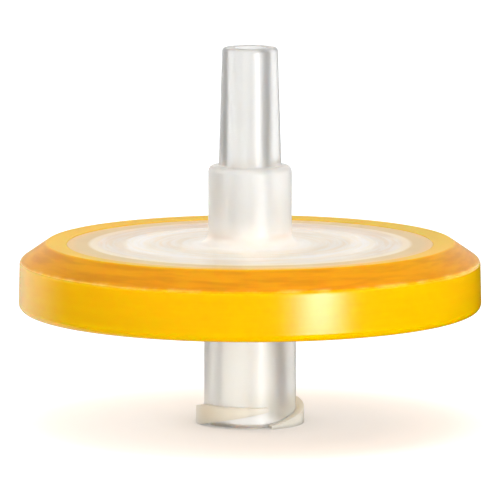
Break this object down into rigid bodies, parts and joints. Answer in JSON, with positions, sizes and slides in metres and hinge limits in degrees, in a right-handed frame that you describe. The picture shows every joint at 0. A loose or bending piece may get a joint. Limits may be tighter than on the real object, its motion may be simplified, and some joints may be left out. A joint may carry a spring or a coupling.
{
  "type": "syringe filter",
  "caption": "Round disposable syringe filter: a thin disc housing in a moulded band, with a male luer slip outlet above and a female luer lock inlet below.",
  "frame": {"origin": "on the axis, in the plane of the inlet hub's open face, on which the filter stands", "axes": "+Z along the axis from the inlet to the outlet; +X and +Y lie in the plane of the disc, with the locking lugs placed as the front view along +Y shows them"},
  "size_m": [0.0334, 0.0334, 0.0272],
  "materials": {
    "clear_housing": "natural translucent polypropylene, moulded with a soft gloss",
    "membrane": "white microporous polymer membrane, matt",
    "yellow_band": "amber yellow translucent polypropylene, moulded with a high gloss"
  },
  "bodies": {
    "root": {"inlet_housing": "clear_housing", "outlet_housing": "clear_housing", "membrane": "membrane", "overmoulded_band": "yellow_band"}
  },
  "joints": []
}
